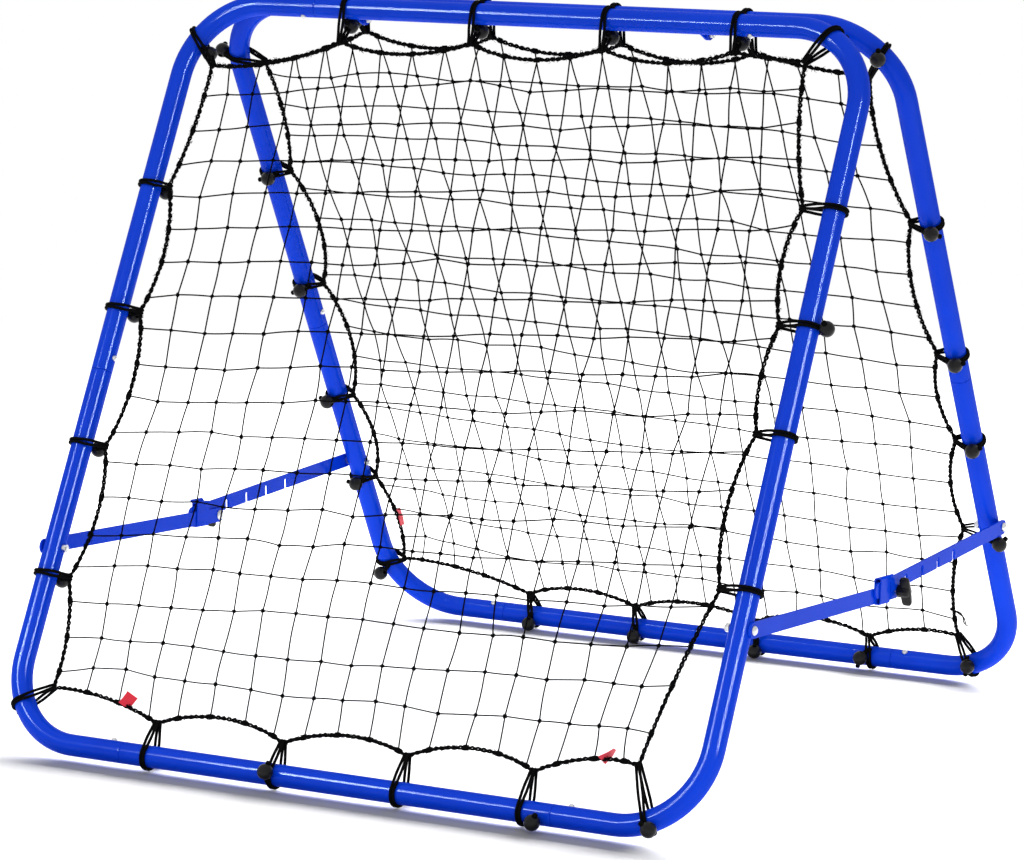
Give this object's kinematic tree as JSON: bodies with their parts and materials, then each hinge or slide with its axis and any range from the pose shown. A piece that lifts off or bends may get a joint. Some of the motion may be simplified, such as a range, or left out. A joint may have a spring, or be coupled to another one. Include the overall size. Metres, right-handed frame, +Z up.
{
  "type": "folding two-net ball rebounder",
  "caption": "A-shaped ball rebounder of two hinged round-cornered tube frames, each holding a square-mesh net on elastic ball loops, spread by flat side stays.",
  "frame": {"origin": "centre of the overall box at floor level", "axes": "+X along the crossbars, +Y from the front frame to the rear frame, +Z up"},
  "size_m": [1.0928, 1.0674, 0.9705],
  "materials": {
    "frame_blue": "glossy powder coat",
    "zinc_steel": "bright zinc plate",
    "black_plastic": "satin",
    "black_cord": "braided cord",
    "red_fabric": "woven tape"
  },
  "bodies": {
    "front_frame": {"front_top_bar": "frame_blue", "front_bottom_bar": "frame_blue", "front_top_corner_left": "frame_blue", "front_top_corner_right": "frame_blue", "front_bottom_corner_left": "frame_blue", "front_bottom_corner_right": "frame_blue", "front_rope_top": "black_cord", "front_rope_bottom": "black_cord", "front_rope_left": "black_cord", "front_rope_right": "black_cord", "front_net": "black_cord", "tag_1": "red_fabric", "tag_2": "red_fabric", "hinge_bolt_left": "zinc_steel", "hinge_bolt_right": "zinc_steel", "front_stay_bolt_left": "zinc_steel", "front_stay_bolt_right": "zinc_steel"},
    "rear_frame": {"rear_top_bar": "frame_blue", "rear_bottom_bar": "frame_blue", "rear_top_corner_left": "frame_blue", "rear_top_corner_right": "frame_blue", "rear_bottom_corner_left": "frame_blue", "rear_bottom_corner_right": "frame_blue", "rear_rope_top": "black_cord", "rear_rope_bottom": "black_cord", "rear_rope_left": "black_cord", "rear_rope_right": "black_cord", "rear_net": "black_cord", "tag_3": "red_fabric", "rear_stay_bolt_left": "zinc_steel", "rear_stay_bolt_right": "zinc_steel"},
    "front_stay_assembly_left": {"front_stay_left": "frame_blue", "clip_left": "frame_blue", "lock_bolt_left": "zinc_steel"},
    "rear_stay_arm_left": {"rear_stay_left": "frame_blue"},
    "knob_left": {"wing_knob_left": "black_plastic"},
    "front_stay_assembly_right": {"front_stay_right": "frame_blue", "clip_right": "frame_blue", "lock_bolt_right": "zinc_steel"},
    "rear_stay_arm_right": {"rear_stay_right": "frame_blue"},
    "knob_right": {"wing_knob_right": "black_plastic"},
    "snap_front_top_left": {"button_front_top_left": "zinc_steel"},
    "snap_front_top_right": {"button_front_top_right": "zinc_steel"},
    "snap_front_bottom_left": {"button_front_bottom_left": "zinc_steel"},
    "snap_front_bottom_right": {"button_front_bottom_right": "zinc_steel"},
    "snap_front_leg_left": {"button_front_leg_left": "zinc_steel"},
    "snap_front_leg_right": {"button_front_leg_right": "zinc_steel"},
    "snap_rear_top_left": {"button_rear_top_left": "zinc_steel"},
    "snap_rear_top_right": {"button_rear_top_right": "zinc_steel"},
    "snap_rear_bottom_left": {"button_rear_bottom_left": "zinc_steel"},
    "snap_rear_bottom_right": {"button_rear_bottom_right": "zinc_steel"},
    "snap_rear_leg_left": {"button_rear_leg_left": "zinc_steel"},
    "snap_rear_leg_right": {"button_rear_leg_right": "zinc_steel"}
  },
  "joints": [
    {"name": "fold", "type": "hinge", "parent": "front_frame", "child": "rear_frame", "pos_m": [0, 0.00732, 0.93617], "axis": [-1, 0, 0], "range_deg": [0, 24]},
    {"name": "front_stay_turn_left", "type": "hinge", "parent": "front_frame", "child": "front_stay_assembly_left", "pos_m": [-0.5196, -0.38119, 0.25012], "axis": [-1, 0, 0], "range_deg": [0, 10.5]},
    {"name": "rear_stay_turn_left", "type": "hinge", "parent": "rear_frame", "child": "rear_stay_arm_left", "pos_m": [-0.5229, 0.39584, 0.25012], "axis": [1, 0, 0], "range_deg": [0, 12]},
    {"name": "knob_turn_left", "type": "hinge", "parent": "front_stay_assembly_left", "child": "knob_left", "pos_m": [-0.5259, 0.04233, 0.22412], "axis": [1, 0, 0], "continuous": true},
    {"name": "front_stay_turn_right", "type": "hinge", "parent": "front_frame", "child": "front_stay_assembly_right", "pos_m": [0.5196, -0.38119, 0.25012], "axis": [-1, 0, 0], "range_deg": [0, 10.5]},
    {"name": "rear_stay_turn_right", "type": "hinge", "parent": "rear_frame", "child": "rear_stay_arm_right", "pos_m": [0.5229, 0.39584, 0.25012], "axis": [1, 0, 0], "range_deg": [0, 12]},
    {"name": "knob_turn_right", "type": "hinge", "parent": "front_stay_assembly_right", "child": "knob_right", "pos_m": [0.5259, 0.04233, 0.22412], "axis": [1, 0, 0], "continuous": true},
    {"name": "snap_front_top_left", "type": "slide", "parent": "front_frame", "child": "snap_front_top_left", "axis": [0, 0.4577, 0.8891], "range_m": [0, 0.0032], "stiffness_N_per_m": 800, "springref_m": -0.002},
    {"name": "snap_front_top_right", "type": "slide", "parent": "front_frame", "child": "snap_front_top_right", "axis": [0, 0.4577, 0.8891], "range_m": [0, 0.0032], "stiffness_N_per_m": 800, "springref_m": -0.002},
    {"name": "snap_front_bottom_left", "type": "slide", "parent": "front_frame", "child": "snap_front_bottom_left", "axis": [0, -0.4577, -0.8891], "range_m": [0, 0.0032], "stiffness_N_per_m": 800, "springref_m": -0.002},
    {"name": "snap_front_bottom_right", "type": "slide", "parent": "front_frame", "child": "snap_front_bottom_right", "axis": [0, -0.4577, -0.8891], "range_m": [0, 0.0032], "stiffness_N_per_m": 800, "springref_m": -0.002},
    {"name": "snap_front_leg_left", "type": "slide", "parent": "front_frame", "child": "snap_front_leg_left", "axis": [-1, 0, 0], "range_m": [0, 0.0032], "stiffness_N_per_m": 800, "springref_m": -0.002},
    {"name": "snap_front_leg_right", "type": "slide", "parent": "front_frame", "child": "snap_front_leg_right", "axis": [1, 0, 0], "range_m": [0, 0.0032], "stiffness_N_per_m": 800, "springref_m": -0.002},
    {"name": "snap_rear_top_left", "type": "slide", "parent": "rear_frame", "child": "snap_rear_top_left", "axis": [0, -0.4577, 0.8891], "range_m": [0, 0.0032], "stiffness_N_per_m": 800, "springref_m": -0.002},
    {"name": "snap_rear_top_right", "type": "slide", "parent": "rear_frame", "child": "snap_rear_top_right", "axis": [0, -0.4577, 0.8891], "range_m": [0, 0.0032], "stiffness_N_per_m": 800, "springref_m": -0.002},
    {"name": "snap_rear_bottom_left", "type": "slide", "parent": "rear_frame", "child": "snap_rear_bottom_left", "axis": [0, 0.4577, -0.8891], "range_m": [0, 0.0032], "stiffness_N_per_m": 800, "springref_m": -0.002},
    {"name": "snap_rear_bottom_right", "type": "slide", "parent": "rear_frame", "child": "snap_rear_bottom_right", "axis": [0, 0.4577, -0.8891], "range_m": [0, 0.0032], "stiffness_N_per_m": 800, "springref_m": -0.002},
    {"name": "snap_rear_leg_left", "type": "slide", "parent": "rear_frame", "child": "snap_rear_leg_left", "axis": [-1, 0, 0], "range_m": [0, 0.0032], "stiffness_N_per_m": 800, "springref_m": -0.002},
    {"name": "snap_rear_leg_right", "type": "slide", "parent": "rear_frame", "child": "snap_rear_leg_right", "axis": [1, 0, 0], "range_m": [0, 0.0032], "stiffness_N_per_m": 800, "springref_m": -0.002}
  ],
  "couplings": [
    {"joint": "front_stay_turn_left", "follows": "fold", "ratio": 0.4372},
    {"joint": "rear_stay_turn_left", "follows": "fold", "ratio": 0.4966},
    {"joint": "front_stay_turn_right", "follows": "fold", "ratio": 0.4372},
    {"joint": "rear_stay_turn_right", "follows": "fold", "ratio": 0.4966}
  ]
}
